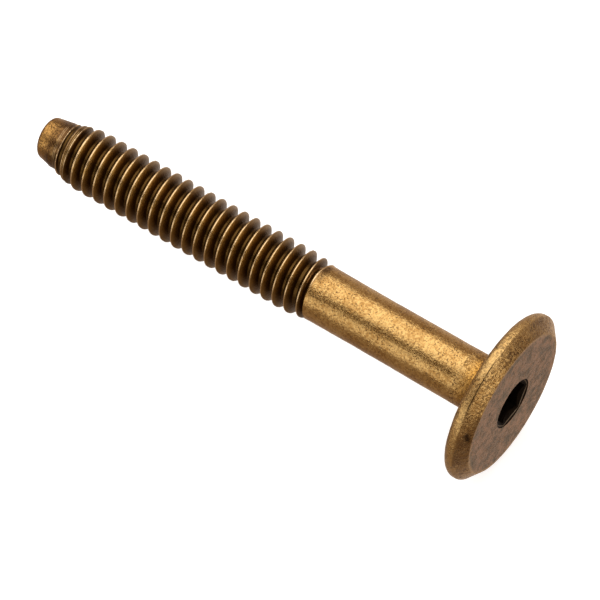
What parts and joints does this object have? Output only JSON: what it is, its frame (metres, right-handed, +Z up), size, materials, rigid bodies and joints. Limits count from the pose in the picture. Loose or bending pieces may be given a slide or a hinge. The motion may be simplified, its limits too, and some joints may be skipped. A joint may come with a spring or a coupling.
{
  "type": "furniture connector bolt",
  "caption": "Furniture connector bolt with a wide flat bevelled head, hex socket, plain shank, coarse right-hand thread and rounded plain point.",
  "frame": {"origin": "on the bolt's axis, in the plane of the bearing face under the head", "axes": "+X along the bolt's axis towards the head, +Z up with the bolt lying on its side"},
  "size_m": [0.0524, 0.0168, 0.0168],
  "materials": {
    "head_metal": "antique brass plating, satin, dark in the pits and bright on the edges",
    "shank_metal": "antique brass plating, satin, finely pitted",
    "thread_metal": "antique brass plating, dark flanks with rubbed bright crests",
    "point_metal": "antique brass plating, satin"
  },
  "bodies": {
    "root": {"head": "head_metal", "shank": "shank_metal", "threaded_section": "thread_metal", "point": "point_metal"}
  },
  "joints": []
}
